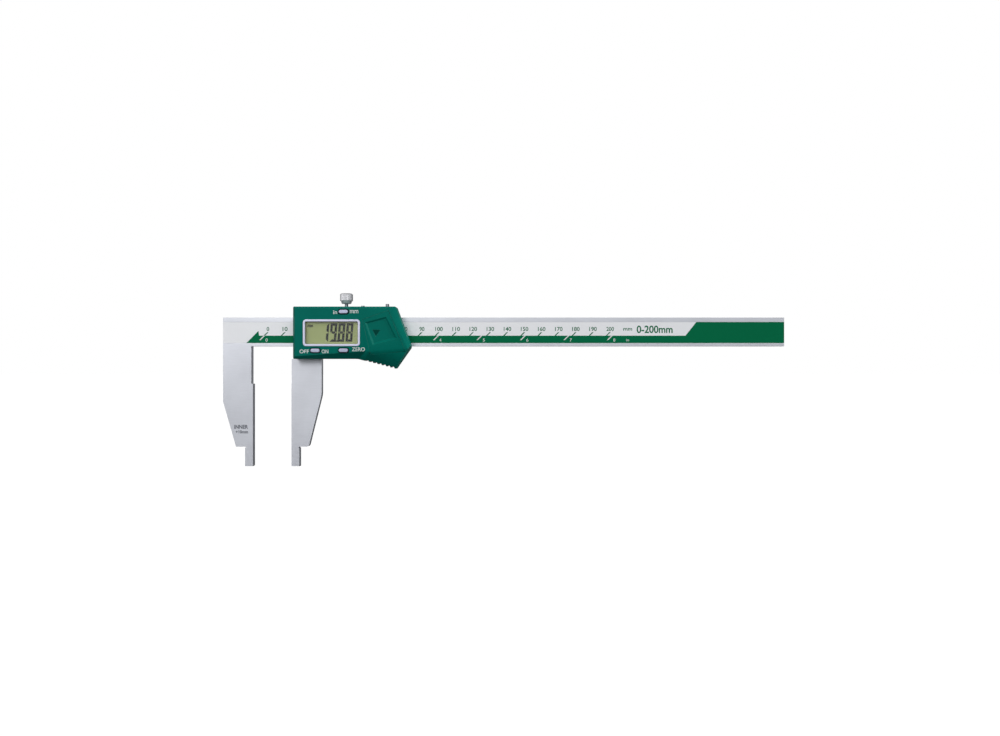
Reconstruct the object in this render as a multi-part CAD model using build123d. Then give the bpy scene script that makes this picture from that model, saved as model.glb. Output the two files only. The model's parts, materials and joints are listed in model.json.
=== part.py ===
from build123d import *
import os
from math import cos, hypot, pi, sin

# Digital caliper with nib jaws, 0 to 200 mm and 0 to 8 inches. One STEP file per piece.
#
# X runs along the beam, Z is up and the display faces -Y. The origin is the middle of the
# fixed jaw's measuring face. Every piece is drawn with Z = 0 at the beam's lower edge, and is
# raised by `face_middle` when it is written. Pieces on the slider are drawn with X = 0 on the
# moving jaw's measuring face, and are also moved along the beam by `opening`.
# A range is a pair (low, high).

# Beam and jaws
opening = 22.5                      # between the measuring faces at rest
beam_left, beam_right = -17.5, 310.5
beam_height = 16.8
beam_half = 2.0                     # half the thickness of the beam and of both jaws
film_low, film_high = 1.9, 14.15    # printed scale cover, between two bare steel margins
groove_depth = 1.2
film_thickness = 0.2
nib_depth = 70.1                    # beam's lower edge to the tip of the nibs
nib_radius = 5.0                    # closed nibs measure a bore of 10 mm
shoulder_depth = 58.7
face_top = 21.9                     # the measuring face starts this far below the beam
face_relief = 0.9
jaw_slant_top = (beam_left, -32.4)  # the fixed jaw's outer edge slants between these two corners
jaw_slant_foot = (-9.95, -shoulder_depth)
neck_width, neck_depth = 4.2, 0.8   # slight undercut between shoulder and nib
end_stop_x, end_stop_z = (270.3, 278.3), (2.6, 13.9)
end_stop_back = 3.6
screw_radius, screw_room = 0.8, 0.85
face_middle = (face_top + nib_depth) / 2

# Slider frame
gap = 0.05                          # sliding clearance
gib_thickness = 1.2
frame_left, frame_right = 3.1, 61.0
frame_low, frame_top = -4.6, 22.6
frame_back = 4.6
rail_front = -2.15
lip_front = -3.15                   # end lips that hold the slider on the beam
lip_inner_ends = (8.4, 56.6)
moving_jaw_width = 17.65
moving_jaw_top, moving_jaw_relief = -7.3, 0.12
rail_top_inside = beam_height + 2 * gap + gib_thickness

# Front housing
front = -12.4                       # display face
door_floor = -11.0                  # bottom of the slot that the battery door lies in
bay_roof = -10.4                    # roof over the display
roof = -8.4                         # roof over the rest of the inside
wall = 1.5
housing_left, housing_top, housing_low = 2.95, frame_top, -7.45
housing_corner = 0.9
top_right = (62.0, housing_top)
right_tip = (70.6, 0.0)
thumb_corner = (61.2, -13.2)
thumb_start = (39.6, housing_low)
crease_start, crease_end = (45.2, -3.1), (68.9, -1.2)
crease_step, crease_drop = (0.9, -10.66), 6.4   # the facet below the crease falls back this much
ridge_end = (61.5, -7.23, -10.5)    # lower end of the ridge between the thumb rest's two facets
thumb_start_front = -7.4            # depth of the lower facet where the thumb rest starts
right_bevel_top, right_bevel_foot = (57.8, housing_top), (68.0, 0.2)
right_bevel_drop = 2.0
left_bevel_line, low_bevel_line, top_bevel_line = 4.7, -5.95, housing_top - 1.1
side_drop, low_drop, top_drop = 3.0, 1.8, 2.4  # how far the other bevels fall back
ripple_start, ripple_end = (43.6, -8.55), (60.7, -13.1)
ripple_count, ripple_depth = 7, 1.0
thumb_back = 3.0

# Display, buttons, battery and screws
window_x, window_z = (10.57, 40.70), (1.0, 13.81)
bezel_line = 1.25
button_places = {"unit": (32.48, 19.49), "power": (16.34, -2.72), "zero": (32.48, -2.62)}
button_length, button_width = 5.4, 2.15
button_recess = (6.7, 3.4, 0.7)     # length, width and depth of the recess round a button
button_top, flange_front, flange_back = -12.9, -8.3, -7.6
board_x, board_z = (9.0, 56.2), (-4.3, 20.9)
board_front = lip_front
battery_centre = (52.7, 9.0)
battery_radius, battery_front, battery_back = 5.8, -9.6, -4.2
door_slide = (0.23, -0.9732)        # unit direction in X and Z in which the door comes off
door_top_left, door_top_right = (43.3, 14.9), (58.0, 20.2)
door_right_lean = 0.42              # the door's right side leans out more than it slides
door_overhang = 1.9                 # the door reaches this far below the crease
scoop_rim = [(44.7, 13.4), (49.1, 0.5), (63.0, 4.2), (56.9, 16.6)]
scoop_depth, scoop_slope = 0.75, 0.9
door_arrow, arrow_depth = [(48.8, 9.3), (53.5, 9.15), (50.8, 5.3)], 0.95
housing_screw_places = [(6.4, 19.4), (6.4, -2.4), (58.6, 19.4), (58.6, -2.4)]
board_screw_places = [(11.0, 19.4), (54.0, 19.4), (11.0, -2.6), (50.5, -2.6)]
lock_x = 31.8
gib_screw_tops = {41.45: 23.8, 55.8: 24.8}


def block(x, y, z):
    """A box that fills three ranges."""
    centre = [(low + high) / 2 for low, high in (x, y, z)]
    size = [high - low for low, high in (x, y, z)]
    return Pos(*centre) * Box(*size)


def slab(outline, y_front, y_back):
    """An outline drawn in X and Z, extruded to fill y_front to y_back."""
    return extrude(Plane.XZ.offset(-y_back) * outline, amount=y_back - y_front, dir=(0, -1, 0))


def rod_y(place, radius, y_front, y_back):
    """A round rod along Y, at a place in X and Z."""
    middle = Pos(place[0], (y_front + y_back) / 2, place[1])
    return middle * Rot(90, 0, 0) * Cylinder(radius, y_back - y_front)


def rod_z(x, radius, low, high):
    """An upright round rod in the middle plane of the beam."""
    return Pos(x, 0, (low + high) / 2) * Cylinder(radius, high - low)


def rounded(points, radius, *corners):
    """A polygon with some of its corners rounded."""
    outline = Polygon(*points, align=None)
    chosen = [
        vertex for vertex in outline.vertices()
        if min(hypot(vertex.X - x, vertex.Y - z) for x, z in corners) < 0.01
    ]
    return fillet(chosen, radius)


def rectangle(x, z):
    """The four corners of a rectangle that fills two ranges."""
    return [(x[0], z[0]), (x[1], z[0]), (x[1], z[1]), (x[0], z[1])]


def grown(pair, amount):
    """A range that reaches `amount` further at both ends."""
    return (pair[0] - amount, pair[1] + amount)


def group(pieces):
    """Separate solids that share one file."""
    return Compound([solid for piece in pieces for solid in piece.solids()])


def oval(place, length, width, y_front, y_back):
    """A rod with a stadium-shaped section, along Y."""
    return slab(Pos(*place) * SlotOverall(length, width), y_front, y_back)


# ---------------------------------------------------------------- beam

def nib_trim(side):
    """What is cut from a nib to round its outer face; side is -1 for the fixed jaw, 1 for the moving one."""
    reach = nib_radius + 1
    x = (-reach, 0) if side < 0 else (0, reach)
    height = (-nib_depth - 1, -shoulder_depth - neck_depth)
    return block(x, (-reach, reach), height) - rod_z(0, nib_radius, -nib_depth - 2, -shoulder_depth)


def main_beam():
    """Beam, fixed jaw and fixed nib, ground from one piece of steel."""
    outline = Polygon(
        (beam_left, beam_height),
        jaw_slant_top,
        jaw_slant_foot,
        (-neck_width, -shoulder_depth),
        (-neck_width, -shoulder_depth - neck_depth),
        (-nib_radius, -shoulder_depth - neck_depth),
        (-nib_radius, -nib_depth),
        (0, -nib_depth),
        (0, -face_top),
        (-face_relief, -face_top),
        (-face_relief, 0),
        (beam_right, 0),
        (beam_right, beam_height),
        align=None,
    )
    beam = slab(outline, -beam_half, beam_half) - nib_trim(-1)
    groove = (-beam_half - 1, -beam_half + groove_depth)
    beam -= block(grown((beam_left, beam_right), 1), groove, (film_low, film_high))
    for place in end_stop_screw_places():
        beam -= rod_y(place, screw_room, -0.2, beam_half + 1)
    return beam


def scale_strip():
    """Glass-fibre strip with the printed copper pattern that the slider reads."""
    depth = (-beam_half + film_thickness, -beam_half + groove_depth)
    return block((beam_left, beam_right), depth, (film_low, film_high))


def scale_cover():
    """Printed film over the strip, level with the beam's face."""
    return block((beam_left, beam_right), (-beam_half, -beam_half + film_thickness), (film_low, film_high))


def end_stop_screw_places():
    """Two screws, one above the other, in the middle of the end stop."""
    middle = sum(end_stop_x) / 2
    return [(middle, end_stop_z[0] + 3.0), (middle, end_stop_z[1] - 3.0)]


def end_stop():
    """Small plate behind the beam that keeps the slider from running off its end."""
    corners = rectangle(end_stop_x, end_stop_z)
    plate = slab(rounded(corners, 1.0, *corners), beam_half, end_stop_back)
    for place in end_stop_screw_places():
        plate -= rod_y(place, 1.05, beam_half - 1, end_stop_back + 1)
        plate -= rod_y(place, 1.85, end_stop_back - 0.8, end_stop_back + 1)
    return plate


def slotted_screw(place, shank_radius, head_radius, tip, head_bottom, head_top):
    """A screw along Y whose slotted head faces +Y."""
    head = rod_y(place, head_radius, head_bottom, head_top)
    x, z = place
    head -= block(grown((x, x), head_radius), (head_top - 0.4, head_top + 1), grown((z, z), 0.25))
    return head + rod_y(place, shank_radius, tip, head_bottom)


def end_stop_screws():
    """Two screws that hold the end stop."""
    return group(
        slotted_screw(place, screw_radius, 1.75, 0.0, end_stop_back - 0.8, end_stop_back)
        for place in end_stop_screw_places()
    )


# ---------------------------------------------------------------- slider frame

def moving_jaw():
    """The moving jaw with its nib, from the frame's lower rail down."""
    shoulder = (10.05, -shoulder_depth)
    bend = (moving_jaw_width, -28.3)
    outline = Polygon(
        (frame_left, frame_low + 1),
        (frame_left, moving_jaw_top),
        (moving_jaw_relief, moving_jaw_top),
        (moving_jaw_relief, -face_top),
        (0, -face_top),
        (0, -nib_depth),
        (nib_radius, -nib_depth),
        (nib_radius, -shoulder_depth - neck_depth),
        (neck_width, -shoulder_depth - neck_depth),
        (neck_width, -shoulder_depth),
        shoulder,
        bend,
        (moving_jaw_width, frame_low + 1),
        align=None,
    )
    outline = fillet(corner_near(outline, shoulder), 1.5)
    outline = fillet(corner_near(outline, bend), 12.0)
    return slab(outline, -beam_half, beam_half) - nib_trim(1)


def corner_near(outline, point):
    """The corner of an outline that lies at a point."""
    return outline.vertices().sort_by_distance((*point, 0))[0]


def end_lips(z):
    """Lips at both ends of the slider, in front of the beam's edge, over one range of height."""
    left = block((frame_left, lip_inner_ends[0]), (lip_front, rail_front), z)
    right = block((lip_inner_ends[1], frame_right), (lip_front, rail_front), z)
    return left + right


def slider_frame():
    """Channel that runs on the beam, with the moving jaw, all one piece of steel."""
    length = (frame_left, frame_right)
    frame = block(length, (rail_front, frame_back), (frame_low, frame_top))
    frame -= block(grown(length, 1), (rail_front - 1, beam_half + gap), (-gap, rail_top_inside))
    frame += end_lips((frame_low, 1.4)) + end_lips((15.0, frame_top))
    frame += moving_jaw()
    for place in housing_screw_places:
        frame -= rod_y(place, 1.1, lip_front - 1, frame_back + 1)
        frame -= rod_y(place, 1.9, frame_back - 1.3, frame_back + 1)
    for place in board_screw_places:
        frame -= rod_y(place, screw_room, rail_front - 1, 1.2)
    for x in gib_screw_tops:
        frame -= rod_z(x, 1.02, rail_top_inside - 1, frame_top + 1)
    frame -= rod_z(lock_x, 1.3, rail_top_inside - 1, frame_top + 1)
    return frame


def gib_strip():
    """Bronze strip between the beam's top edge and the frame, which takes up the play."""
    length = grown((frame_left, frame_right), -2)
    return block(length, (-1.7, 1.7), (beam_height + gap, beam_height + gap + gib_thickness))


def gib_screws():
    """Two slotted set screws that press on the gib strip."""
    screws = []
    for x, top in gib_screw_tops.items():
        screw = rod_z(x, 1.0, beam_height + gap + gib_thickness, top)
        screws.append(screw - block(grown((x, x), 1.2), (-0.2, 0.2), (top - 0.5, top + 1)))
    return group(screws)


def rear_plate():
    """Thin aluminium plate glued to the back of the frame."""
    corners = rectangle((11.0, 54.0), (0.5, 16.5))
    return slab(rounded(corners, 1.5, *corners), frame_back, frame_back + 0.3)


# ---------------------------------------------------------------- front housing

def shave(solid, a, b, c):
    """Cut off what stands in front of the plane through three points."""
    normal = (Vector(*b) - Vector(*a)).cross(Vector(*c) - Vector(*a)).normalized()
    if normal.Y > 0:
        normal = -normal
    return split(solid, bisect_by=Plane(origin=a, z_dir=normal), keep=Keep.BOTTOM)


def bevel(solid, start, end, outward, drop):
    """Shave from an edge on the front face, falling back by `drop` over the step `outward`."""
    falling = (start[0] + outward[0], front + drop, start[1] + outward[1])
    return shave(solid, (start[0], front, start[1]), (end[0], front, end[1]), falling)


def housing_block():
    """The housing's outer form: a flat front, bevelled edges and the two facets of the thumb rest."""
    low_left, top_left = (housing_left, housing_low), (housing_left, housing_top)
    split = [(crease_start[0], housing_top), crease_start, thumb_start]

    left_points = [low_left, top_left, *split]
    left_outline = rounded(left_points, housing_corner, low_left, top_left)
    left = slab(left_outline, front, rail_front)
    left_step, low_step = (housing_left - left_bevel_line, 0), (0, housing_low - low_bevel_line)
    left = bevel(left, (left_bevel_line, 0), (left_bevel_line, 1), left_step, side_drop)
    left = bevel(left, (left_bevel_line, low_bevel_line), crease_start, low_step, low_drop)

    right_points = [*split, thumb_corner, right_tip, top_right]
    right_outline = rounded(right_points, housing_corner, top_right, right_tip, thumb_corner)
    right = slab(right_outline, front, rail_front)
    right_bevel_width = top_right[0] - right_bevel_top[0]
    right = bevel(right, right_bevel_top, right_bevel_foot, (right_bevel_width, 0), right_bevel_drop)
    right = bevel(right, crease_start, crease_end, crease_step, crease_drop)
    low_start = (thumb_start[0], thumb_start_front, housing_low)
    right = shave(right, (crease_start[0], front, crease_start[1]), ridge_end, low_start)

    whole = left + right
    top_step = (0, housing_top - top_bevel_line)
    return bevel(whole, (0, top_bevel_line), (1, top_bevel_line), top_step, top_drop)


def thumb_rest_back():
    """The thumb rest carried on behind the front shell, below and beside the frame."""
    inner_x, inner_z = frame_right + 0.3, frame_low - 0.2
    points = [
        (38.0, inner_z), (38.0, housing_low), thumb_start, thumb_corner,
        (right_tip[0] - 0.6, -0.6), (inner_x, -0.6), (inner_x, inner_z),
    ]
    return slab(rounded(points, 1.0, thumb_corner), rail_front, thumb_back)


def thumb_ripples():
    """Round cuts side by side along the thumb rest's lower edge, which leave points between them."""
    run_x = (ripple_end[0] - ripple_start[0]) / ripple_count
    run_z = (ripple_end[1] - ripple_start[1]) / ripple_count
    pitch = hypot(run_x, run_z)
    radius = (pitch ** 2 / 4 + ripple_depth ** 2) / (2 * ripple_depth)
    outward = (run_z / pitch * (radius - ripple_depth), -run_x / pitch * (radius - ripple_depth))
    cuts = []
    for index in range(ripple_count):
        middle = shifted(ripple_start, (index + 0.5) * run_x, (index + 0.5) * run_z)
        cuts.append(rod_y(shifted(middle, *outward), radius, front - 1, thumb_back + 1))
    return cuts


def housing_cavity():
    """The space inside the housing."""
    right_low = right_tip[0] - 4.5
    points = [
        (housing_left + wall, housing_low + wall), (housing_left + wall, housing_top - wall),
        (top_right[0] - 3.0, housing_top - wall), (right_low, 2.0), (60.9, housing_low + wall),
    ]
    cavity = slab(Polygon(*points, align=None), roof, rail_front + 1)
    cavity += block((8.6, 42.6), (bay_roof, roof), (-0.95, 16.1))
    cavity += rod_y(battery_centre, battery_radius + 0.3, door_floor - 0.5, roof)
    cavity += block((45.4, 47.5), (-10.1, roof), (7.4, 10.6))
    return cavity


def door_outline(play, extra_length):
    """The battery door seen from the front, with `play` around it and its lower end further down."""
    left, right = shifted(door_top_left, -play, play), shifted(door_top_right, play, play)
    drop_left = door_top_left[1] - crease_start[1] + door_overhang + extra_length
    drop_right = door_top_right[1] - crease_end[1] + door_overhang + extra_length
    lean = door_slide[0] / -door_slide[1]
    low_left = shifted(left, lean * drop_left, -drop_left)
    low_right = shifted(right, door_right_lean * drop_right, -drop_right)
    return Polygon(left, right, low_right, low_left, align=None)


def shifted(point, x, z):
    """A point moved in X and Z."""
    return (point[0] + x, point[1] + z)


def door_guide(right_side, start, length, reach, play, depth):
    """A strip beside the door, along the way it slides: a tongue on the door or its groove."""
    corner = door_top_right if right_side else door_top_left
    reach = reach if right_side else -reach
    top = shifted(corner, door_slide[0] * start, door_slide[1] * start + play)
    foot = shifted(top, door_slide[0] * length, door_slide[1] * length - 2 * play)
    inner = -0.5 if right_side else 0.5
    inner_side = [shifted(top, inner, 0), shifted(foot, inner, 0)]
    outer_side = [shifted(foot, reach, 0), shifted(top, reach, 0)]
    return slab(Polygon(*inner_side, *outer_side, align=None), *depth)


def door_slot():
    """What is cut from the housing so that the door can lie in it and slide off it."""
    slot = slab(door_outline(0.1, 30.0), front - 1, door_floor)
    for right_side in (False, True):
        slot += door_guide(right_side, 5.0, 45.0, 0.8, 0.5, (door_floor - 0.75, door_floor))
    return slot


def battery_door():
    """Sliding door, level with the housing, with a finger recess and an arrow for the way it goes."""
    door = slab(door_outline(0, 0), front - 1, door_floor - 0.1) & housing_block()
    rim = Polygon(*scoop_rim, align=None)
    floor = Plane.XZ.offset(-front - scoop_depth) * offset(rim, -scoop_slope)
    door -= loft([Plane.XZ.offset(-front) * rim, floor])
    door -= slab(Polygon(*door_arrow, align=None), front - 1, front + arrow_depth)
    for right_side in (False, True):
        door += door_guide(right_side, 5.0, 11.0, 0.6, 0, (door_floor - 0.6, door_floor - 0.1))
    return door


def front_housing():
    """Moulded shell over the slider's electronics."""
    housing = housing_block() + thumb_rest_back()
    housing -= housing_cavity()
    for place in housing_screw_places:
        housing += rod_y(place, 2.0, roof - 0.5, lip_front)
    lips = (lip_front, rail_front)
    housing -= block((frame_left - 1, lip_inner_ends[0] + 0.1), lips, grown((frame_low, frame_top), 1))
    housing -= block((lip_inner_ends[1] - 0.1, frame_right + 0.1), lips, (frame_low - 0.1, frame_top + 1))
    housing -= slab(bezel_outline(0.03), front - 1, bay_roof + 0.5)
    recess_length, recess_width, recess_depth = button_recess
    for place in button_places.values():
        housing -= oval(place, button_length + 0.2, button_width + 0.2, front - 1, roof + 1)
        housing -= oval(place, recess_length, recess_width, front - 1, front + recess_depth)
    for place in housing_screw_places:
        housing -= rod_y(place, 1.02, -8.3, lip_front + 1)
    housing -= door_slot()
    for cut in thumb_ripples():
        housing -= cut
    return housing


def housing_screws():
    """Four screws from behind, through the frame and into the housing's posts."""
    return group(
        slotted_screw(place, 1.0, 1.8, -8.1, frame_back - 1.3, frame_back - 0.1)
        for place in housing_screw_places
    )


# ---------------------------------------------------------------- display

def bezel_outline(play):
    """The outside of the display bezel."""
    corners = rectangle(grown(window_x, bezel_line + play), grown(window_z, bezel_line + play))
    return rounded(corners, 1.8 + play, *corners)


def display_bezel():
    """Bright frame round the display, standing a little proud of the housing."""
    corners = rectangle(window_x, window_z)
    opening_outline = rounded(corners, 0.6, *corners)
    return slab(bezel_outline(0), front - 0.25, -11.2) - slab(opening_outline, front - 1, -11)


def display_window():
    """Clear plate behind the bezel."""
    return slab(bezel_outline(-0.05), -11.2, bay_roof)


def lcd_panel():
    """Two glass plates; the front one is taller, so that its contacts face the strips behind."""
    front_glass = block(grown(window_x, 0.9), (-10.3, -9.35), (0.3, 14.5))
    return front_glass + block(grown(window_x, 0.9), (-9.35, -8.4), (2.5, 12.3))


def zebra_strips():
    """Two rubber connectors between the display's contacts and the board."""
    x = grown(window_x, -0.5)
    return group([block(x, (-9.35, board_front), (0.5, 2.2)), block(x, (-9.35, board_front), (12.6, 14.3))])


def display_holder():
    """Black frame that holds the display and both connectors over the board."""
    holder = block((8.8, 42.4), (bay_roof, board_front), (-0.8, 15.9))
    holder -= block(grown(window_x, 0.95), (bay_roof - 1, -8.4), (0.25, 14.55))
    strip_x = grown(window_x, -0.45)
    for z in ((0.45, 2.25), (12.55, 14.35)):
        holder -= block(strip_x, (-9.5, board_front + 1), z)
    return holder - block((11.5, 39.8), (-7.4, board_front + 1), (3.2, 11.6))


# ---------------------------------------------------------------- board

def main_board():
    """Circuit board on the frame's rails, with its reading side towards the scale."""
    board = block(board_x, (board_front, rail_front), board_z)
    for place in board_screw_places:
        board -= rod_y(place, 0.9, board_front - 1, rail_front + 1)
    return board


def sensor_electrodes():
    """Row of copper pads on the back of the board and one long pick-up strip above it."""
    depth = (rail_front, rail_front + 0.05)
    pads = [block((x, x + 0.9), depth, (3.0, 9.0)) for x in [12.0 + 1.27 * index for index in range(32)]]
    return group([*pads, block((12.0, 52.3), depth, (10.0, 12.6))])


def measuring_chip():
    """Chip under a drop of black resin."""
    drop_radius, drop_height = 4.2, 1.5
    ball_radius = (drop_radius ** 2 + drop_height ** 2) / (2 * drop_height)
    ball = Pos(22.0, board_front - drop_height + ball_radius, 7.4) * Sphere(ball_radius)
    return ball & block((15, 29), (board_front - drop_height, board_front), (0, 15))


def quartz_crystal():
    """Watch crystal in its can, lying on the board."""
    return Pos(33.5, board_front - 1.0, 9.4) * Rot(0, 90, 0) * Cylinder(1.0, 6.0)


def chip_capacitors():
    """Four ceramic capacitors."""
    places = [(30.5, 5.0), (33.5, 5.0), (36.5, 5.0), (14.0, 9.5)]
    depth = (board_front - 0.8, board_front)
    return group(block(grown((x, x), 0.8), depth, grown((z, z), 0.4)) for x, z in places)


def board_screws():
    """Four small screws that hold the board to the frame."""
    screws = []
    for x, z in board_screw_places:
        head = rod_y((x, z), 1.3, board_front - 0.9, board_front)
        head -= block(grown((x, x), 2), (board_front - 2, board_front - 0.5), grown((z, z), 0.2))
        screws.append(head + rod_y((x, z), 0.8, board_front, 1.0))
    return group(screws)


def switch_bases():
    """Bodies of the three push switches."""
    bases = []
    for x, z in button_places.values():
        base = block(grown((x, x), 2.2), (-6.45, board_front), grown((z, z), 1.2))
        bases.append(base - rod_y((x, z), 0.95, -8, -5.0))
    return group(bases)


# ---------------------------------------------------------------- buttons, battery, lock screw

def button(place):
    """Oval key with a rounded top, and a flange that keeps it in the housing."""
    key = oval(place, button_length, button_width, button_top, flange_front)
    key = fillet(key.edges().group_by(Axis.Y)[0], 0.35)
    return key + oval(place, 6.6, 3.2, flange_front, flange_back)


def plunger(place):
    """The part of a push switch that the key presses."""
    return rod_y(place, 0.9, flange_back, -5.6)


def battery():
    """Button cell, 11.6 by 5.4, with its smaller negative cap towards the board."""
    can = rod_y(battery_centre, battery_radius, battery_front, battery_back - 0.5)
    can = fillet(can.edges().group_by(Axis.Y)[0], 0.5)
    return can + rod_y(battery_centre, 4.9, battery_back - 0.5, battery_back)


def battery_contact_positive():
    """Bent strip from the board to the battery's front face."""
    width = (7.7, 10.3)
    foot = block((43.2, 45.9), (board_front - 0.2, board_front), width)
    riser = block((45.7, 45.9), (battery_front - 0.2, board_front), width)
    return foot + riser + block((45.7, 51.5), (battery_front - 0.2, battery_front), width)


def battery_contact_negative():
    """Bowed spring between the board and the battery's cap."""
    foot_top = board_front - 0.2
    rise, half_span, leaf = foot_top - battery_back, 3.0, 0.2
    bow_radius = (half_span ** 2 + rise ** 2) / (2 * rise)
    x, z = battery_centre
    ring = Pos(x, battery_back + bow_radius, z) * (Cylinder(bow_radius, 2.4) - Cylinder(bow_radius - leaf, 3))
    bow = ring & block(grown((x, x), 4), (battery_back - 1, foot_top), grown((z, z), 2))
    return bow + block((x - 3.3, x + 3.3), (foot_top, board_front), grown((z, z), 1.2))


def lock_stem():
    """Threaded stem of the lock screw; its tip stands just clear of the gib strip."""
    return rod_z(lock_x, 1.25, rail_top_inside + 0.2, 22.0) + rod_z(lock_x, 1.0, 22.0, 28.8)


def lock_knob():
    """Knurled head of the lock screw."""
    ridges, outer, inner, height = 30, 3.75, 3.55, 4.2
    points = []
    for step in range(2 * ridges):
        radius = outer if step % 2 else inner
        points.append((radius * cos(pi * step / ridges), radius * sin(pi * step / ridges)))
    grip = extrude(Polygon(*points, align=None), amount=height)
    grip &= Cone(outer + 3.7, outer - 0.6, height, align=(Align.CENTER, Align.CENTER, Align.MIN))
    collar = Cone(2.7, 3.3, 1.7, align=(Align.CENTER, Align.CENTER, Align.MAX))
    return Pos(lock_x, 0, 26.7) * (grip + collar) - rod_z(lock_x, 1.02, 24.0, 28.9)


# ---------------------------------------------------------------- files

beam_pieces = {
    "main_beam": main_beam(),
    "scale_strip": scale_strip(),
    "scale_cover": scale_cover(),
    "end_stop": end_stop(),
    "end_stop_screws": end_stop_screws(),
}

slider_pieces = {
    "slider_frame": slider_frame(),
    "gib_strip": gib_strip(),
    "gib_screws": gib_screws(),
    "rear_plate": rear_plate(),
    "front_housing": front_housing(),
    "housing_screws": housing_screws(),
    "display_bezel": display_bezel(),
    "display_window": display_window(),
    "lcd_panel": lcd_panel(),
    "zebra_strips": zebra_strips(),
    "display_holder": display_holder(),
    "main_board": main_board(),
    "sensor_electrodes": sensor_electrodes(),
    "measuring_chip": measuring_chip(),
    "quartz_crystal": quartz_crystal(),
    "chip_capacitors": chip_capacitors(),
    "board_screws": board_screws(),
    "switch_bases": switch_bases(),
    "battery": battery(),
    "battery_contact_positive": battery_contact_positive(),
    "battery_contact_negative": battery_contact_negative(),
    "battery_door": battery_door(),
    "lock_stem": lock_stem(),
    "lock_knob": lock_knob(),
}
for name, place in button_places.items():
    slider_pieces[f"{name}_button"] = button(place)
    slider_pieces[f"{name}_plunger"] = plunger(place)

os.makedirs("parts", exist_ok=True)
for name, piece in beam_pieces.items():
    export_step(Pos(0, 0, face_middle) * piece, f"parts/{name}.step")
for name, piece in slider_pieces.items():
    export_step(Pos(opening, 0, face_middle) * piece, f"parts/{name}.step")
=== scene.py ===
import json
from math import cos, pi, radians, sin

import bmesh
import bpy
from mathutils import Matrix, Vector


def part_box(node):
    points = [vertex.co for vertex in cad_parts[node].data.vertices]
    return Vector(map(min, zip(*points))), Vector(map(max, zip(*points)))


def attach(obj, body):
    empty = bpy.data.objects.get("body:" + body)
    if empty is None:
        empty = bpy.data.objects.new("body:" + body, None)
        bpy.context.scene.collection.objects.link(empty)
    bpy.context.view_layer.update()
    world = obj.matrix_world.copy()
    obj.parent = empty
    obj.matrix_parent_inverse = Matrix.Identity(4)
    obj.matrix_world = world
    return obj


# Digital caliper: finishes, printed marks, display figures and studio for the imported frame.
#
# Lengths are in millimetres and turn into metres where a mesh or a node is made. The frame's X
# runs along the beam and is 0 at the fixed jaw's measuring face, Z is up, the display faces -Y.

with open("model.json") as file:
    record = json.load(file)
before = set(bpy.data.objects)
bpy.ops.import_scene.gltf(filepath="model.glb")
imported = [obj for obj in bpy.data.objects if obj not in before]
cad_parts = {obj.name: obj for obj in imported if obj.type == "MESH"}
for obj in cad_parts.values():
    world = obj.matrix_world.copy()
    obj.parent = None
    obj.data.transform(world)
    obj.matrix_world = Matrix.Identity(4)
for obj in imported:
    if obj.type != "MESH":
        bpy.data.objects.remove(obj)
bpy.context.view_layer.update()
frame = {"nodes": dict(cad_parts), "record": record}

MM = 0.001


def box_mm(node):
    """Lowest and highest corner of a CAD node, in millimetres."""
    low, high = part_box(node)
    return low / MM, high / MM


def middle_mm(node):
    """The middle of a CAD node's box, in millimetres."""
    low, high = box_mm(node)
    return (low + high) / 2


film_low, film_high = box_mm("scale_cover")
bezel_low, bezel_high = box_mm("display_bezel")
glass_front = box_mm("lcd_panel")[0].y
housing_front = box_mm("front_housing")[0].y
jaw_low = box_mm("main_beam")[0]
slider_zero = box_mm("slider_frame")[0].x       # the moving jaw's measuring face
beam_edge = film_low.z - 1.9                    # the film starts 1.9 above the beam's lower edge

ink = 0.02              # thickness of a printed mark
key_recess, arrow_recess = 0.7, 0.95            # how far both floors lie behind the housing's front
bezel_line = 1.25       # width of the bright frame round the display
band_height = 4.3       # green band along the lower edge of the film
arrow_height = 7.1      # its half arrowhead at the zero end


# ---------------------------------------------------------------- shader nodes

def srgb(red, green, blue):
    """A colour given as 0 to 255 per channel, as the linear values that shaders take."""
    channels = [value / 255 for value in (red, green, blue)]
    linear = [v / 12.92 if v <= 0.04045 else ((v + 0.055) / 1.055) ** 2.4 for v in channels]
    return (*linear, 1.0)


def add(tree, kind, inputs=None, **settings):
    """A shader node with its settings, and its inputs set to values or linked to other nodes."""
    node = tree.nodes.new("ShaderNode" + kind)
    for name, value in settings.items():
        setattr(node, name, value)
    for name, value in (inputs or {}).items():
        if isinstance(value, bpy.types.NodeSocket):
            tree.links.new(value, node.inputs[name])
        else:
            node.inputs[name].default_value = value
    return node


def noise(tree, size, stretch=(1, 1, 1), detail=3.0):
    """Noise whose features are `size` millimetres across, drawn out along the axes as asked."""
    scale = [1 / (MM * size * factor) for factor in stretch]
    place = add(tree, "TexCoord").outputs["Object"]
    mapped = add(tree, "Mapping", {"Vector": place, "Scale": scale}).outputs["Vector"]
    return add(tree, "TexNoise", {"Vector": mapped, "Scale": 1.0, "Detail": detail}).outputs["Fac"]


def remap(tree, value, old, new):
    """A value carried from one range to another."""
    limits = {"Value": value, "From Min": old[0], "From Max": old[1], "To Min": new[0], "To Max": new[1]}
    return add(tree, "MapRange", limits).outputs["Result"]


def times(tree, first, second):
    """Two values multiplied."""
    return add(tree, "Math", {0: first, 1: second}, operation="MULTIPLY").outputs["Value"]


def scaled(tree, colour, amount):
    """A colour made brighter or darker by a value."""
    values = colour if isinstance(colour, bpy.types.NodeSocket) else colour[:3]
    return add(tree, "VectorMath", {0: values, "Scale": amount}, operation="SCALE").outputs["Vector"]


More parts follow.
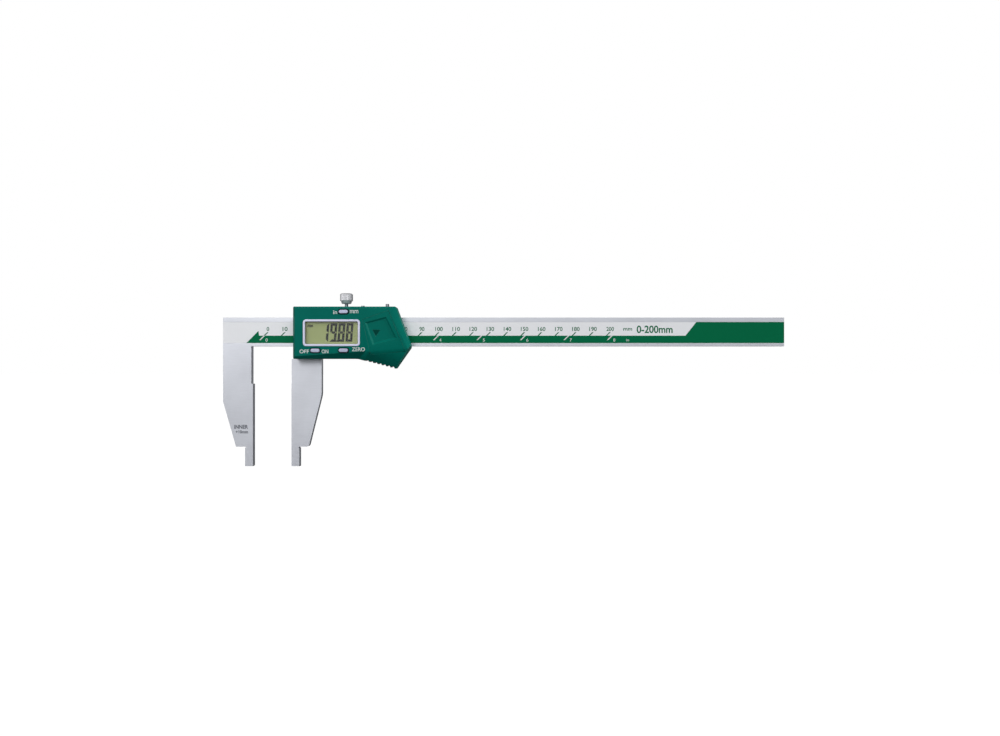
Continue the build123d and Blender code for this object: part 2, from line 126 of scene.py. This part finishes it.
def mixed(tree, amount, first, second):
    """Two colours mixed."""
    colour_in, colour_out = (6, 7), 2           # the node's sockets for colours
    node = add(tree, "Mix", {0: amount, colour_in[0]: first, colour_in[1]: second}, data_type="RGBA")
    return node.outputs[colour_out]


def edge_mask(tree, radius):
    """1 along sharp edges, within `radius` millimetres, and 0 on flats."""
    rounded = add(tree, "Bevel", {"Radius": radius * MM}, samples=4).outputs["Normal"]
    normal = add(tree, "NewGeometry").outputs["Normal"]
    turned = add(tree, "VectorMath", {0: rounded, 1: normal}, operation="DOT_PRODUCT").outputs["Value"]
    return remap(tree, turned, (0.99, 0.80), (0.0, 1.0))


def finish(name, colour, metallic=0.0, roughness=0.5, specular=0.5, cloud=(9.0, 0.05), grain=0.15,
           stretch=(1, 1, 1), grain_tint=0.04, depth=0.004, edge=(0.25, 1.25), highlight_tint=None):
    """A material with broad clouds, a fine grain and a painted highlight in patches along its sharp edges.

    cloud: size and strength of the broad variation. grain, stretch, grain_tint and depth: size, drawn
    direction, strength and relief of the fine one. edge: width of the painted edge highlight and its
    brightness. The last argument is the colour that the painted edge highlight is tinted towards.
    """
    material = bpy.data.materials.new(name)
    material.use_nodes = True
    tree = material.node_tree
    shader = tree.nodes["Principled BSDF"]
    clouds = noise(tree, cloud[0])
    fine = noise(tree, grain, stretch, 4.0)
    cloud_light = remap(tree, clouds, (0.3, 0.7), (1 - cloud[1], 1 + cloud[1]))
    fine_light = remap(tree, fine, (0.3, 0.7), (1 - grain_tint, 1 + grain_tint))
    shade = times(tree, cloud_light, fine_light)
    # Painted highlight: sharp edges are made brighter in patches and, when a tint is given, paler towards it.
    edge_highlight = edge_mask(tree, edge[0])
    patchy_highlight = times(tree, edge_highlight, remap(tree, noise(tree, 1.5), (0.35, 0.65), (0.2, 1.0)))
    light = times(tree, shade, remap(tree, patchy_highlight, (0, 1), (1, edge[1])))
    tone = scaled(tree, colour, light)
    if highlight_tint:
        tone = mixed(tree, times(tree, patchy_highlight, 0.4), tone, highlight_tint)
    tree.links.new(tone, shader.inputs["Base Color"])
    tree.links.new(
        remap(tree, fine, (0.3, 0.7), (roughness * 0.9, roughness * 1.1)), shader.inputs["Roughness"]
    )
    bump = add(tree, "Bump", {"Height": fine, "Distance": depth * MM, "Strength": 1.0})
    tree.links.new(bump.outputs["Normal"], shader.inputs["Normal"])
    shader.inputs["Metallic"].default_value = metallic
    shader.inputs["Specular IOR Level"].default_value = specular
    return material


# ---------------------------------------------------------------- finishes

def ground_steel():
    """Hardened steel, ground along the beam."""
    return finish("ground_steel", srgb(208, 210, 216), metallic=0.9, roughness=0.5, cloud=(22.0, 0.05),
                  grain=0.12, stretch=(40, 1, 1), grain_tint=0.05, depth=0.002, edge=(0.2, 1.1))


def scale_film():
    """Pale printed film, slightly satin."""
    return finish("scale_film", srgb(240, 241, 243), roughness=0.42, specular=0.4, cloud=(30.0, 0.012),
                  grain=0.3, grain_tint=0.012, depth=0.001, edge=(0.1, 1.02))


def glass_fibre():
    """Bare laminate with its weave showing."""
    material = finish("glass_fibre", srgb(150, 160, 110), roughness=0.6, grain=0.2, depth=0.004)
    weave(material, srgb(150, 160, 110), 0.6)
    return material


def board_laminate():
    """Green solder resist over a glass weave."""
    material = finish("board_laminate", srgb(14, 92, 52), roughness=0.3, grain=0.3, depth=0.002)
    weave(material, srgb(14, 92, 52), 0.6)
    return material


def weave(material, colour, pitch):
    """Adds a plain weave to a material's colour."""
    tree = material.node_tree
    place = add(tree, "TexCoord").outputs["Object"]
    bands = [
        add(tree, "TexWave", {"Vector": place, "Scale": 0.314 / (pitch * MM), "Distortion": 0.4},
            bands_direction=axis).outputs["Fac"]
        for axis in ("X", "Z")
    ]
    cloth = remap(tree, times(tree, *bands), (0, 1), (0.86, 1.1))
    tree.links.new(scaled(tree, colour, cloth), tree.nodes["Principled BSDF"].inputs["Base Color"])


def bronze():
    """Rolled bronze."""
    return finish("bronze", srgb(186, 140, 84), metallic=0.95, roughness=0.34, cloud=(6.0, 0.08),
                  grain=0.1, stretch=(30, 1, 1))


def screw_steel():
    """Turned steel screws, slightly oily."""
    return finish("screw_steel", srgb(150, 152, 158), metallic=0.9, roughness=0.42, cloud=(1.5, 0.06),
                  grain=0.06, stretch=(4, 4, 1), depth=0.001, edge=(0.1, 1.2))


def knob_steel():
    """Nickel plate over knurled steel, with a painted highlight on the ridges."""
    return finish("knob_steel", srgb(226, 225, 228), metallic=0.7, roughness=0.45, cloud=(2.5, 0.06),
                  grain=0.08, stretch=(1, 1, 5), grain_tint=0.06, depth=0.002, edge=(0.12, 1.1))


def green_plastic():
    """Moulded plastic with a fine spark-eroded texture, and a pale grey-green painted highlight along its
    edges.
    """
    return finish("green_plastic", srgb(0, 98, 86), roughness=0.42, specular=0.03, cloud=(14.0, 0.05),
                  grain=0.22, grain_tint=0.04, depth=0.01, edge=(0.3, 1.2), highlight_tint=srgb(92, 142, 130))


def silver_trim():
    """Satin silver paint on the display's frame."""
    return finish("silver_trim", srgb(205, 206, 228), metallic=0.35, roughness=0.33, cloud=(5.0, 0.03),
                  grain=0.06, grain_tint=0.05, depth=0.001, edge=(0.15, 1.15))


def clear_plastic():
    """Thin clear plate: what lies behind shows, with a weak reflection over it."""
    material = bpy.data.materials.new("clear_plastic")
    material.use_nodes = True
    tree = material.node_tree
    output = tree.nodes["Material Output"]
    smudge = remap(tree, noise(tree, 6.0), (0.3, 0.7), (0.05, 0.16))
    gloss = add(tree, "BsdfGlossy", {"Roughness": smudge, "Color": (1, 1, 1, 1)}).outputs["BSDF"]
    clear = add(tree, "BsdfTransparent", {"Color": (0.97, 0.98, 0.97, 1)}).outputs["BSDF"]
    turned = add(tree, "LayerWeight", {"Blend": 0.5}).outputs["Facing"]
    shine = remap(tree, turned, (0.4, 1.0), (0.022, 0.5))
    both = add(tree, "MixShader", {0: shine, 1: clear, 2: gloss}).outputs["Shader"]
    tree.links.new(both, output.inputs["Surface"])
    return material


def display_glass():
    """Reflective liquid crystal display, olive, with a faint unevenness."""
    return finish("display_glass", srgb(166, 174, 114), roughness=0.3, specular=0.2, cloud=(12.0, 0.05),
                  grain=0.08, grain_tint=0.03, depth=0.0, edge=(0.05, 1.0))


def black_rubber():
    """Moulded rubber."""
    return finish("black_rubber", srgb(32, 32, 34), roughness=0.8, grain=0.1, depth=0.006)


def black_plastic():
    """Black moulded plastic."""
    return finish("black_plastic", srgb(30, 30, 32), roughness=0.55, grain=0.15, depth=0.005)


def copper():
    """Gold-flashed copper pads."""
    return finish("copper", srgb(214, 168, 96), metallic=0.95, roughness=0.3, cloud=(3.0, 0.08), grain=0.05)


def black_resin():
    """Cast black resin, glossy, with slow waves."""
    return finish("black_resin", srgb(20, 20, 22), roughness=0.2, cloud=(3.0, 0.1), grain=1.2, depth=0.02)


def ceramic():
    """Fired tan ceramic."""
    return finish("ceramic", srgb(170, 146, 116), roughness=0.6, cloud=(1.0, 0.08), grain=0.04)


def nickel():
    """Bright nickel of the cell and its springs."""
    return finish("nickel", srgb(206, 205, 200), metallic=0.95, roughness=0.22, cloud=(4.0, 0.06),
                  grain=0.05, stretch=(6, 6, 1), edge=(0.15, 1.2))


def button_plastic():
    """Metallic grey keys, polished by fingers, with a painted highlight along their edges."""
    return finish("button_plastic", srgb(170, 174, 197), metallic=0.4, roughness=0.35, cloud=(2.0, 0.05),
                  grain=0.06, grain_tint=0.06, depth=0.001, edge=(0.2, 1.15))


def label_aluminium():
    """Brushed aluminium plate."""
    return finish("label_aluminium", srgb(205, 206, 208), metallic=0.9, roughness=0.34, cloud=(10.0, 0.04),
                  grain=0.08, stretch=(60, 1, 1), grain_tint=0.08, depth=0.002)


def green_ink():
    """Green printing on the film."""
    return finish("green_ink", srgb(1, 106, 68), roughness=0.5, specular=0.04, cloud=(25.0, 0.02),
                  grain=0.2, grain_tint=0.03, depth=0.001, edge=(0.02, 1.0))


def white_ink():
    """White printing on the housing and on the green band."""
    return finish("white_ink", srgb(222, 224, 222), roughness=0.5, specular=0.1, grain=0.15, grain_tint=0.04,
                  depth=0.002, edge=(0.02, 1.0))


def arrow_green():
    """Darker green painted on the floor of the sunk arrow on the battery door, as its shade."""
    return finish("arrow_green", srgb(0, 66, 57), roughness=0.6, specular=0.03, grain=0.15,
                  grain_tint=0.06, depth=0.004, edge=(0.02, 1.0))


def gap_green():
    """Nearly black green painted in the gaps round the keys, as the shade in their recesses."""
    return finish("gap_green", srgb(0, 40, 38), roughness=0.6, specular=0.03, grain=0.15,
                  grain_tint=0.06, depth=0.004, edge=(0.02, 1.0))


def dark_etching():
    """Dark letters etched in the steel."""
    return finish("dark_etching", srgb(92, 96, 104), metallic=0.3, roughness=0.6, grain=0.1,
                  grain_tint=0.12, depth=0.002, edge=(0.02, 1.0))


def display_black():
    """Dark figures of the display."""
    return finish("display_black", srgb(12, 16, 12), roughness=0.4, specular=0.1, cloud=(6.0, 0.05),
                  grain=0.1, depth=0.0, edge=(0.02, 1.0))


SLOT_FINISHES = (
    ground_steel, scale_film, glass_fibre, bronze, screw_steel, knob_steel, green_plastic, silver_trim,
    clear_plastic, display_glass, black_rubber, black_plastic, board_laminate, copper, black_resin,
    ceramic, nickel, button_plastic, label_aluminium,
)


def finish_cad_pieces():
    """Gives every CAD node the finish that its slot in the record names."""
    made = {make.__name__: make() for make in SLOT_FINISHES}
    for subpart in frame["record"]["subparts"]:
        slots = frame["nodes"][subpart["node"]].material_slots
        for material_slot in slots:
            material_slot.material = made[subpart["material_slot"]]


def soften(node, width, segments=2):
    """Rounds a CAD piece's sharp edges by `width` millimetres, without touching its mesh."""
    modifiers = frame["nodes"][node].modifiers
    weld = modifiers.new("join_corners", "WELD")
    weld.merge_threshold = 0.002 * MM
    flats = modifiers.new("join_flats", "DECIMATE")
    flats.decimate_type = "DISSOLVE"
    flats.angle_limit = radians(0.6)
    bevel = modifiers.new("edge_radius", "BEVEL")
    bevel.width = width * MM
    bevel.segments = segments
    bevel.limit_method = "ANGLE"
    bevel.angle_limit = radians(32)
    bevel.harden_normals = True
    modifiers.new("even_shading", "WEIGHTED_NORMAL")


# ---------------------------------------------------------------- printed shapes

def plate(points, y_back, thickness=ink):
    """A flat shape drawn in X and Z, anticlockwise from the front, standing on a surface at y_back."""
    count = len(points)
    corners = [(x, y_back - thickness, z) for x, z in points] + [(x, y_back, z) for x, z in points]
    sides = [(i, i + count, (i + 1) % count + count, (i + 1) % count) for i in range(count)]
    return corners, [tuple(range(count)), tuple(reversed(range(count, 2 * count))), *sides]


def letters(text, centre, width, height, y_back, thickness=ink, bold=0.0):
    """Lettering in the built-in font, fitted to a width and a height round a centre in X and Z."""
    curve = bpy.data.curves.new("letters", "FONT")
    curve.body = text
    curve.extrude = 0.5
    curve.offset = bold
    holder = bpy.data.objects.new("letters", curve)
    bpy.context.scene.collection.objects.link(holder)
    bpy.context.view_layer.update()
    mesh = bpy.data.meshes.new_from_object(holder.evaluated_get(bpy.context.evaluated_depsgraph_get()))
    bpy.data.objects.remove(holder)
    across = [vertex.co.x for vertex in mesh.vertices]
    up = [vertex.co.y for vertex in mesh.vertices]
    stretch_x, stretch_z = width / (max(across) - min(across)), height / (max(up) - min(up))
    middle_x, middle_z = (max(across) + min(across)) / 2, (max(up) + min(up)) / 2
    corners = [
        (
            centre[0] + (vertex.co.x - middle_x) * stretch_x,
            y_back - thickness * (vertex.co.z + 0.5),
            centre[1] + (vertex.co.y - middle_z) * stretch_z,
        )
        for vertex in mesh.vertices
    ]
    return corners, [tuple(polygon.vertices) for polygon in mesh.polygons]


def make_piece(name, shapes, material, body):
    """One object from several shapes, riding on a body."""
    sheet = bmesh.new()
    for corners, faces in shapes:
        made = [sheet.verts.new(Vector(corner) * MM) for corner in corners]
        for face in faces:
            sheet.faces.new([made[index] for index in face])
    bmesh.ops.remove_doubles(sheet, verts=sheet.verts, dist=0.0005 * MM)
    bmesh.ops.recalc_face_normals(sheet, faces=sheet.faces)
    mesh = bpy.data.meshes.new(name)
    sheet.to_mesh(mesh)
    sheet.free()
    mesh.materials.append(material)
    piece = bpy.data.objects.new(name, mesh)
    bpy.context.scene.collection.objects.link(piece)
    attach(piece, body)
    return piece


def slanted_mark(x, low, high, line):
    """A mark that leans to the right at 45 degrees and passes x where it meets the band's top."""
    foot, head = x + low - band_height, x + high - band_height
    return [
        (foot - line / 2, film_low.z + low), (foot + line / 2, film_low.z + low),
        (head + line / 2, film_low.z + high), (head - line / 2, film_low.z + high),
    ]


# ---------------------------------------------------------------- scale

zero_mark = 6.66        # the zero mark meets the band here; the jaws' offset is built into the scale
mark_line, mark_rise = 0.85, 2.0
digit_width, number_height = 1.45, 2.4
number_shift, number_middle = 2.1, 8.2          # from a mark's foot, and above the film's lower edge
inch_mark_low, inch_shift, inch_middle = 1.7, 1.3, 1.75
unit_x, range_x = 219.0, 234.8                  # middle of the unit signs and of the range text
unit_middle = 8.0
band_left, band_notch, band_peak = -3.8, 3.6, 3.2
block_low, block_high = 252.8, 259.1            # foot and head of the filled block's slanted side


def green_band():
    """Band along the lower edge with a half arrowhead at one end and a filled block at the other."""
    low, top = film_low.z, film_low.z + band_height
    peak = film_low.z + arrow_height
    outline = [
        (band_left, low), (film_high.x, low), (film_high.x, film_high.z), (block_high, film_high.z),
        (block_low, top), (band_notch, top), (band_peak, peak),
    ]
    return plate(outline, film_low.y)


def millimetre_scale():
    """Slanted green marks every 10 mm, each with its number."""
    shapes = []
    for value in range(0, 201, 10):
        x = zero_mark + value
        shapes.append(plate(slanted_mark(x, band_height, band_height + mark_rise, mark_line), film_low.y))
        width = digit_width * len(str(value))
        place = (x + number_shift, film_low.z + number_middle)
        shapes.append(letters(str(value), place, width, number_height, film_low.y, bold=0.015))
    shapes.append(letters("mm", (unit_x, film_low.z + unit_middle), 5.2, 1.5, film_low.y, bold=0.015))
    return shapes


def inch_scale():
    """Slanted white marks every inch on the green band, each with its number."""
    shapes = []
    surface = film_low.y - ink
    for inch in range(9):
        x = zero_mark + 25.4 * inch
        shapes.append(plate(slanted_mark(x, inch_mark_low, band_height, mark_line), surface))
        shapes.append(letters(str(inch), (x + inch_shift, film_low.z + inch_middle), 1.2, 1.8, surface))
    shapes.append(letters("in", (unit_x, film_low.z + inch_middle), 1.6, 1.3, surface))
    return shapes


def print_scale():
    """The printing on the beam's film."""
    green, white = green_ink(), white_ink()
    range_text = letters("0-200mm", (range_x, film_low.z + unit_middle), 21.0, 4.4, film_low.y, bold=0.02)
    make_piece("scale_band", [green_band()], green, "beam")
    make_piece("millimetre_scale", millimetre_scale(), green, "beam")
    make_piece("range_text", [range_text], green, "beam")
    make_piece("inch_scale", inch_scale(), white, "beam")


def etch_jaw():
    """Two lines on the fixed jaw that say what to add when measuring a bore."""
    lines = [
        letters("INNER", (-6.9, jaw_low.z + 23.0), 8.0, 2.3, jaw_low.y, bold=0.03),
        letters("+10mm", (-6.5, jaw_low.z + 20.1), 7.2, 1.9, jaw_low.y, bold=0.03),
    ]
    make_piece("jaw_text", lines, dark_etching(), "beam")


# ---------------------------------------------------------------- display and legends

def print_legends():
    """White words beside the keys."""
    unit, power, zero = (middle_mm(f"{key}_button") for key in ("unit", "power", "zero"))
    words = [
        ("OFF", power.x - 6.2, power.z - 0.5, 5.4),
        ("ON", power.x + 5.65, power.z - 0.5, 3.8),
        ("ZERO", zero.x + 8.55, zero.z + 0.6, 7.4),
    ]
    shapes = [letters(text, (x, z), width, 2.15, housing_front, bold=0.01) for text, x, z, width in words]
    shapes.append(letters("in", (unit.x - 4.7, unit.z - 0.3), 2.2, 2.1, housing_front, bold=0.01))
    shapes.append(letters("mm", (unit.x + 6.1, unit.z), 4.8, 1.8, housing_front, bold=0.01))
    make_piece("key_legends", shapes, white_ink(), "slider")


def stadium(x, z, length, width, steps=10):
    """The outline of an oval with straight sides, anticlockwise from the front."""
    reach, radius = (length - width) / 2, width / 2
    turns = [pi * step / steps - pi / 2 for step in range(steps + 1)]
    right = [(x + reach + radius * cos(turn), z + radius * sin(turn)) for turn in turns]
    left = [(x - reach - radius * cos(turn), z - radius * sin(turn)) for turn in turns]
    return right + left


def ring(outer, inner, y_back, thickness=ink):
    """A flat band between two outlines that have as many corners each."""
    count = len(outer)
    levels = [(outer, y_back), (outer, y_back - thickness), (inner, y_back - thickness), (inner, y_back)]
    corners = [(x, y, z) for outline, y in levels for x, z in outline]
    faces = [
        (level * count + i, level * count + (i + 1) % count,
         (level + 1) % 4 * count + (i + 1) % count, (level + 1) % 4 * count + i)
        for level in range(4) for i in range(count)
    ]
    return corners, faces


key_gap_outer, key_gap_inner = (6.65, 3.35), (5.64, 2.38)     # lengths and widths of the painted shade ovals
door_arrow = [(48.9, 9.2), (50.8, 5.5), (53.3, 9.05)]         # from the slider's zero and the beam's edge


def paint_recesses():
    """Painted shade: a dark ring in the gap round each key, and darker green on the floor of the arrow sunk
    in the battery door.
    """
    rings = []
    # Painted shade: a nearly black ring on each key's recess floor.
    for key in ("unit", "power", "zero"):
        place = middle_mm(f"{key}_button")
        outer, inner = (stadium(place.x, place.z, *size) for size in (key_gap_outer, key_gap_inner))
        rings.append(ring(outer, inner, housing_front + key_recess))
    make_piece("key_gap_shade", rings, gap_green(), "slider")
    # Painted shade: darker green on the floor of the sunk arrow.
    corners = [(slider_zero + x, beam_edge + z) for x, z in door_arrow]
    shape = plate(corners, housing_front + arrow_recess)
    make_piece("door_arrow", [shape], arrow_green(), "battery_door")


FIGURES = {"1": "bc", "8": "abcdefg", "9": "abcdfg"}
figure_width, figure_pitch, figure_stroke = 3.9, 4.62, 1.4
reading_left, reading_low, reading_height = 0.29, 0.105, 0.83  # shares of the window's width and height
point_left = 0.588
flag_middle = (0.082, 0.81)


def bars(width, height, stroke):
    """The seven bars of a figure, as corners, keyed as usual from a at the top to g in the middle."""
    middle, left, right = height / 2, stroke, width - stroke
    upper, lower = middle + stroke / 2, middle - stroke / 2
    return {
        "a": [(0, height), (left, height - stroke), (right, height - stroke), (width, height)],
        "b": [(width, height), (right, height - stroke), (right, upper), (width, middle)],
        "c": [(width, middle), (right, lower), (right, stroke), (width, 0)],
        "d": [(0, 0), (width, 0), (right, stroke), (left, stroke)],
        "e": [(0, 0), (left, stroke), (left, lower), (0, middle)],
        "f": [(0, middle), (left, upper), (left, height - stroke), (0, height)],
        "g": [(left / 2, middle), (left, lower), (right, lower), (width - left / 2, middle),
              (right, upper), (left, upper)],
    }


def figure(value, x, z, width, height, stroke, slant=0.08, play=0.02):
    """One seven-bar figure whose lower left corner is at x and z, leaning to the right."""
    shapes = []
    for name in FIGURES[value]:
        points = bars(width, height, stroke)[name]
        middle = Vector([sum(axis) / len(points) for axis in zip(*points)])
        shrunk = [point + (middle - point).normalized() * play for point in map(Vector, points)]
        shapes.append(plate([(x + p.x + p.y * slant, z + p.y) for p in shrunk], glass_front))
    return shapes


def show_reading():
    """The figures 19.88 and a small unit sign on the display."""
    left, right = bezel_low.x + bezel_line, bezel_high.x - bezel_line
    low, high = bezel_low.z + bezel_line, bezel_high.z - bezel_line
    width, height = right - left, high - low
    foot, rise = low + reading_low * height, reading_height * height
    shapes = []
    for index, value in enumerate("1988"):
        x = left + reading_left * width + index * figure_pitch
        shapes += figure(value, x, foot, figure_width, rise, figure_stroke)
    point_x, point_z = left + point_left * width, foot
    corners = [(0, 0), (0.75, 0), (0.8, 0.9), (0.05, 0.9)]
    shapes.append(plate([(point_x + x - 0.35, point_z + z) for x, z in corners], glass_front))
    flag_place = (left + flag_middle[0] * width, low + flag_middle[1] * height)
    shapes.append(letters("mm", flag_place, 3.2, 1.4, glass_front, bold=0.04))
    make_piece("display_figures", shapes, display_black(), "slider")


# ---------------------------------------------------------------- studio

camera_place, camera_lens = (144.4, -452.0, 33.3), 27.716
floor_reach, floor_gap = 6.0, 0.0001            # half its side, and how far it lies below the nibs, in metres


def world_light():
    """White to the camera; for the rest a soft light from the front and a weaker one from behind."""
    world = bpy.data.worlds.new("studio")
    bpy.context.scene.world = world
    world.use_nodes = True
    tree = world.node_tree
    tree.nodes.clear()
    direction = add(tree, "TexCoord").outputs["Generated"]
    toward = Vector((-0.1, -0.94, 0.3)).normalized()
    facing = add(tree, "VectorMath", {0: direction, 1: toward}, operation="DOT_PRODUCT").outputs["Value"]
    front_light = remap(tree, facing, (0.36, 0.68), (0.02, 1.3))
    back_light = remap(tree, facing, (-0.3, -0.7), (0.0, 0.35))
    strength = add(tree, "Math", {0: front_light, 1: back_light}, operation="ADD").outputs["Value"]
    soft = add(tree, "Background", {"Color": (0.97, 0.98, 1.0, 1), "Strength": strength})
    white = add(tree, "Background", {"Color": (1, 1, 1, 1), "Strength": 1.0})
    seen = add(tree, "LightPath").outputs["Is Camera Ray"]
    both = add(tree, "MixShader", {0: seen, 1: soft.outputs["Background"], 2: white.outputs["Background"]})
    output = add(tree, "OutputWorld")
    tree.links.new(both.outputs["Shader"], output.inputs["Surface"])


def softbox(name, place, aim, size, energy, only=()):
    """A square area light at a place, turned to a point, both in millimetres.

    only: the CAD nodes that it lights, where it leaves out the rest.
    """
    data = bpy.data.lights.new(name, "AREA")
    data.size = size * MM
    data.energy = energy
    light = bpy.data.objects.new(name, data)
    light.location = Vector(place) * MM
    light.rotation_euler = (Vector(aim) - Vector(place)).to_track_quat("-Z", "Y").to_euler()
    bpy.context.scene.collection.objects.link(light)
    if only:
        light.light_linking.receiver_collection = bpy.data.collections.new(name + "_lit")
        for node in only:
            light.light_linking.receiver_collection.objects.link(frame["nodes"][node])


def floor():
    """Pale floor at the foot of the nibs."""
    material = bpy.data.materials.new("pale_floor")
    material.use_nodes = True
    tree = material.node_tree
    output = tree.nodes["Material Output"]
    speckle = remap(tree, noise(tree, 4.0), (0.3, 0.7), (0.28, 0.32))
    paint = add(tree, "BsdfDiffuse", {"Color": scaled(tree, (1, 1, 1), speckle)}).outputs["BSDF"]
    glow = add(tree, "Emission", {"Strength": 1.2}).outputs["Emission"]
    seen = add(tree, "LightPath").outputs["Is Camera Ray"]
    share = times(tree, seen, 0.85)
    both = add(tree, "MixShader", {0: share, 1: paint, 2: glow})
    tree.links.new(both.outputs["Shader"], output.inputs["Surface"])
    mesh = bpy.data.meshes.new("floor")
    height = jaw_low.z * MM - floor_gap
    turns = ((-1, -1), (1, -1), (1, 1), (-1, 1))
    corners = [(x * floor_reach, y * floor_reach, height) for x, y in turns]
    mesh.from_pydata(corners, [], [(0, 1, 2, 3)])
    mesh.materials.append(material)
    ground = bpy.data.objects.new("floor", mesh)
    bpy.context.scene.collection.objects.link(ground)


def camera():
    """Camera square to the beam, level with the middle of the jaws' reach."""
    data = bpy.data.cameras.new("camera")
    data.sensor_width = 36.0
    data.lens = camera_lens
    viewer = bpy.data.objects.new("camera", data)
    viewer.location = Vector(camera_place) * MM
    viewer.rotation_euler = (radians(90), 0, 0)
    bpy.context.scene.collection.objects.link(viewer)
    bpy.context.scene.camera = viewer


# ---------------------------------------------------------------- build

EDGE_RADII = {
    "main_beam": 0.15, "slider_frame": 0.15, "front_housing": 0.2, "battery_door": 0.15,
    "display_bezel": 0.2, "lock_knob": 0.06, "end_stop": 0.1, "rear_plate": 0.05,
}

finish_cad_pieces()
for node, width in EDGE_RADII.items():
    soften(node, width)
print_scale()
etch_jaw()
print_legends()
paint_recesses()
show_reading()
world_light()
softbox("key", (-178.0, -722.0, 336.0), (120.0, 0.0, 30.0), 260.0, 1.2)
softbox("edge_light", (775.0, -160.0, 429.0), (95.0, 0.0, 45.0), 300.0, 5.0,
        only=("front_housing", "battery_door"))
floor()
camera()
bpy.context.scene.view_settings.view_transform = "Standard"
